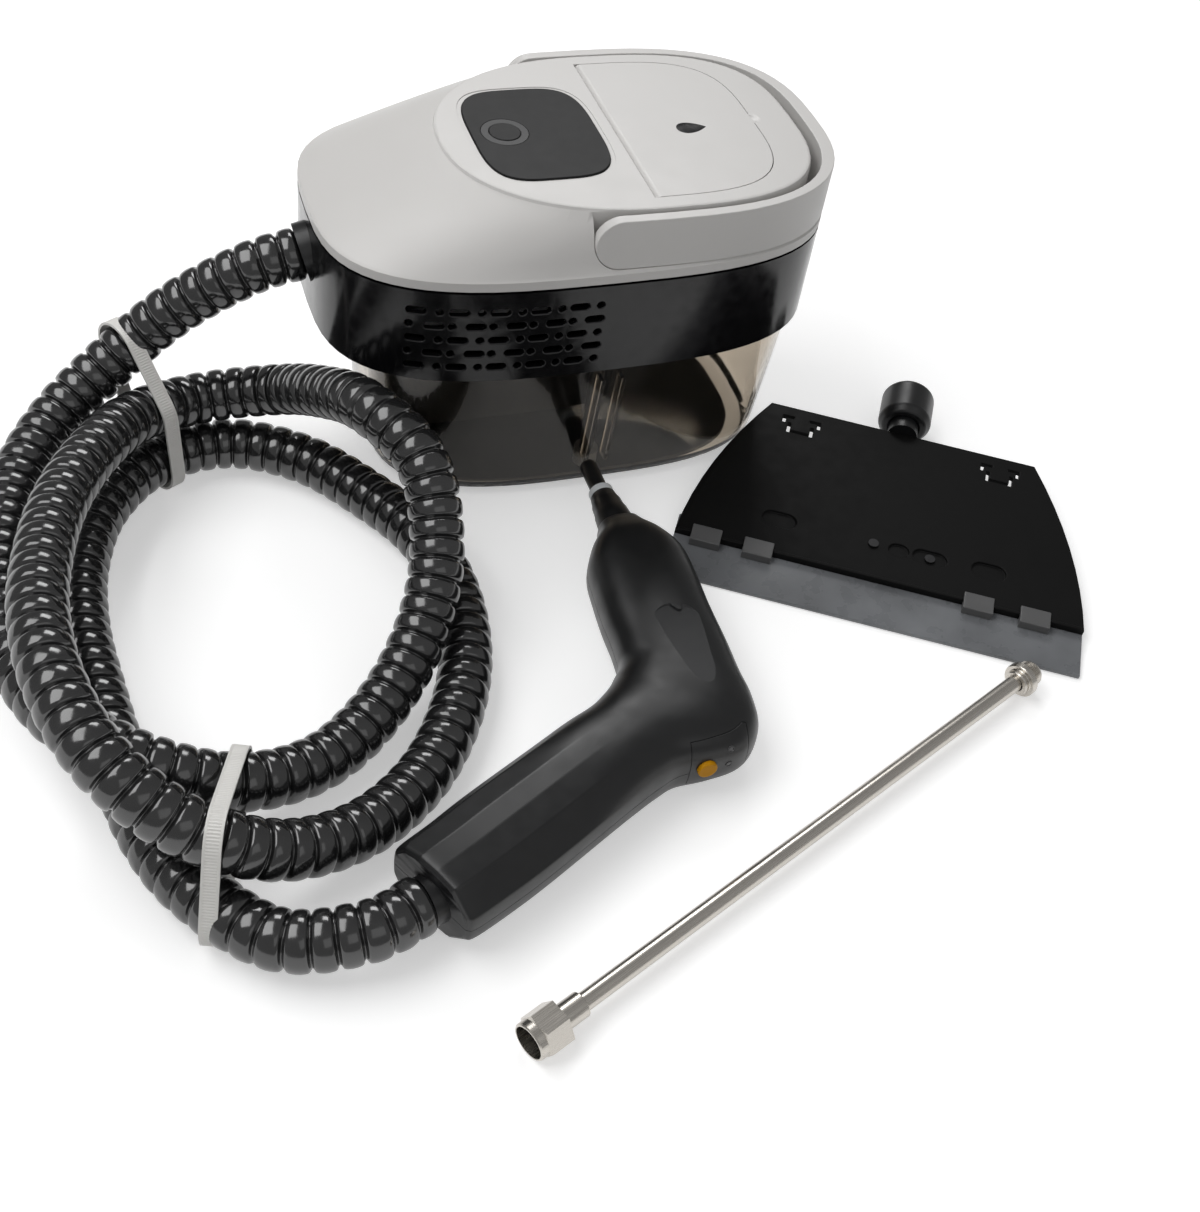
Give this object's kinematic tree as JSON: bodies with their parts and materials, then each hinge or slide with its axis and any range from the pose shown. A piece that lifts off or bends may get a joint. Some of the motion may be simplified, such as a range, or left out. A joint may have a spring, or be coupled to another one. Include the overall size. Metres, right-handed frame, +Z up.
{
  "type": "handheld steam cleaner",
  "caption": "Portable steam cleaner: oval canister with smoked water tank, fold-down carry handle, filler lid, ribbed hose to a steam gun, with extension wand and squeegee head.",
  "frame": {"origin": "under the middle of the body's length and width, on the underside of its rubber base pad, which stands on the floor", "axes": "+X along the body from the hose end to the lid end, +Y away from the steam gun to the body's back, +Z up"},
  "size_m": [0.6029, 0.5011, 0.1899],
  "materials": {
    "white_shell": "satin white moulding",
    "gloss_black": "gloss black moulding",
    "smoked_tank": "clear smoked tank moulding",
    "black_plastic": "fine satin black moulding",
    "hose_black": "gloss black ribbed hose",
    "tube_black": "black silicone tube",
    "rubber_black": "black rubber",
    "rubber_grey": "dark grey rubber",
    "silicone_grey": "grey silicone",
    "grey_plastic": "grey moulding",
    "nylon_grey": "light grey nylon strap",
    "lens_clear": "dark tinted lens",
    "button_yellow": "yellow button",
    "steel": "plain steel",
    "nickel_steel": "nickel plated, brushed",
    "cast_alloy": "die cast",
    "brass": "plain brass",
    "board_green": "bare circuit board"
  },
  "bodies": {
    "unit": {"top_cover": "white_shell", "mid_housing": "gloss_black", "control_panel": "gloss_black", "tank": "smoked_tank", "boiler_well": "black_plastic", "filler_neck": "black_plastic", "gun_shell_upper": "black_plastic", "gun_shell_lower": "black_plastic", "gun_end_cap": "black_plastic", "gun_nozzle": "black_plastic", "hose_gland": "black_plastic", "cord_inlet": "black_plastic", "hose_cuff": "black_plastic", "hose": "hose_black", "suction_tube": "tube_black", "tank_gasket": "rubber_black", "base_pad": "rubber_black", "button_ring": "grey_plastic", "nozzle_ring": "grey_plastic", "gun_switch": "grey_plastic", "suction_filter": "grey_plastic", "thermostat": "grey_plastic", "feed_tube": "grey_plastic", "upper_tie": "nylon_grey", "lower_tie": "nylon_grey", "indicator_lenses": "lens_clear", "well_screws": "steel", "board_screws": "steel", "lid_hinge_pin": "steel", "gun_steam_tube": "steel", "boiler": "cast_alloy", "boiler_saddles": "cast_alloy", "water_pump": "cast_alloy", "heater_element": "brass", "safety_valve": "brass", "steam_pipe": "brass", "control_board": "board_green"},
    "power_key": {"power_button": "gloss_black"},
    "lid": {"filler_lid": "white_shell", "lid_seal": "silicone_grey"},
    "handle": {"carry_handle": "white_shell", "handle_washers": "steel"},
    "steam_key": {"steam_button": "button_yellow"},
    "wand": {"wand_tube": "nickel_steel", "wand_ferrule": "nickel_steel", "wand_fitting": "nickel_steel", "wand_seal": "rubber_black"},
    "wand_union": {"wand_nut": "nickel_steel"},
    "head": {"head_plate": "black_plastic", "head_blade": "rubber_grey", "head_clips": "black_plastic", "head_neck": "black_plastic", "head_screws": "steel"},
    "collar": {"head_collar": "black_plastic"}
  },
  "joints": [
    {"name": "handle_swing", "type": "hinge", "parent": "unit", "child": "handle", "pos_m": [0.002, 0, 0.1738], "axis": [0, -1, 0], "range_deg": [0, 90]},
    {"name": "lid_swing", "type": "hinge", "parent": "unit", "child": "lid", "pos_m": [0.0265, 0, 0.1855], "axis": [0, -1, 0], "range_deg": [0, 90]},
    {"name": "power_press", "type": "slide", "parent": "unit", "child": "power_key", "axis": [0, 0, -1], "range_m": [0, 0.0008], "stiffness_N_per_m": 800},
    {"name": "steam_press", "type": "slide", "parent": "unit", "child": "steam_key", "axis": [0, 1, 0], "range_m": [0, 0.0015], "stiffness_N_per_m": 800},
    {"name": "wand_lift", "type": "slide", "parent": "unit", "child": "wand", "axis": [0, 0, 1], "range_m": [0, 0.25]},
    {"name": "union_spin", "type": "hinge", "parent": "wand", "child": "wand_union", "pos_m": [-0.132, -0.406, 0.0095], "axis": [0.9205, 0.3907, 0], "continuous": true},
    {"name": "head_lift", "type": "slide", "parent": "unit", "child": "head", "axis": [0.3, -0.2, 0.9327], "range_m": [0, 0.25]},
    {"name": "collar_spin", "type": "hinge", "parent": "head", "child": "collar", "pos_m": [0.21019, -0.0754, 0.0157], "axis": [0.5286, 0.846, 0.0698], "continuous": true}
  ]
}
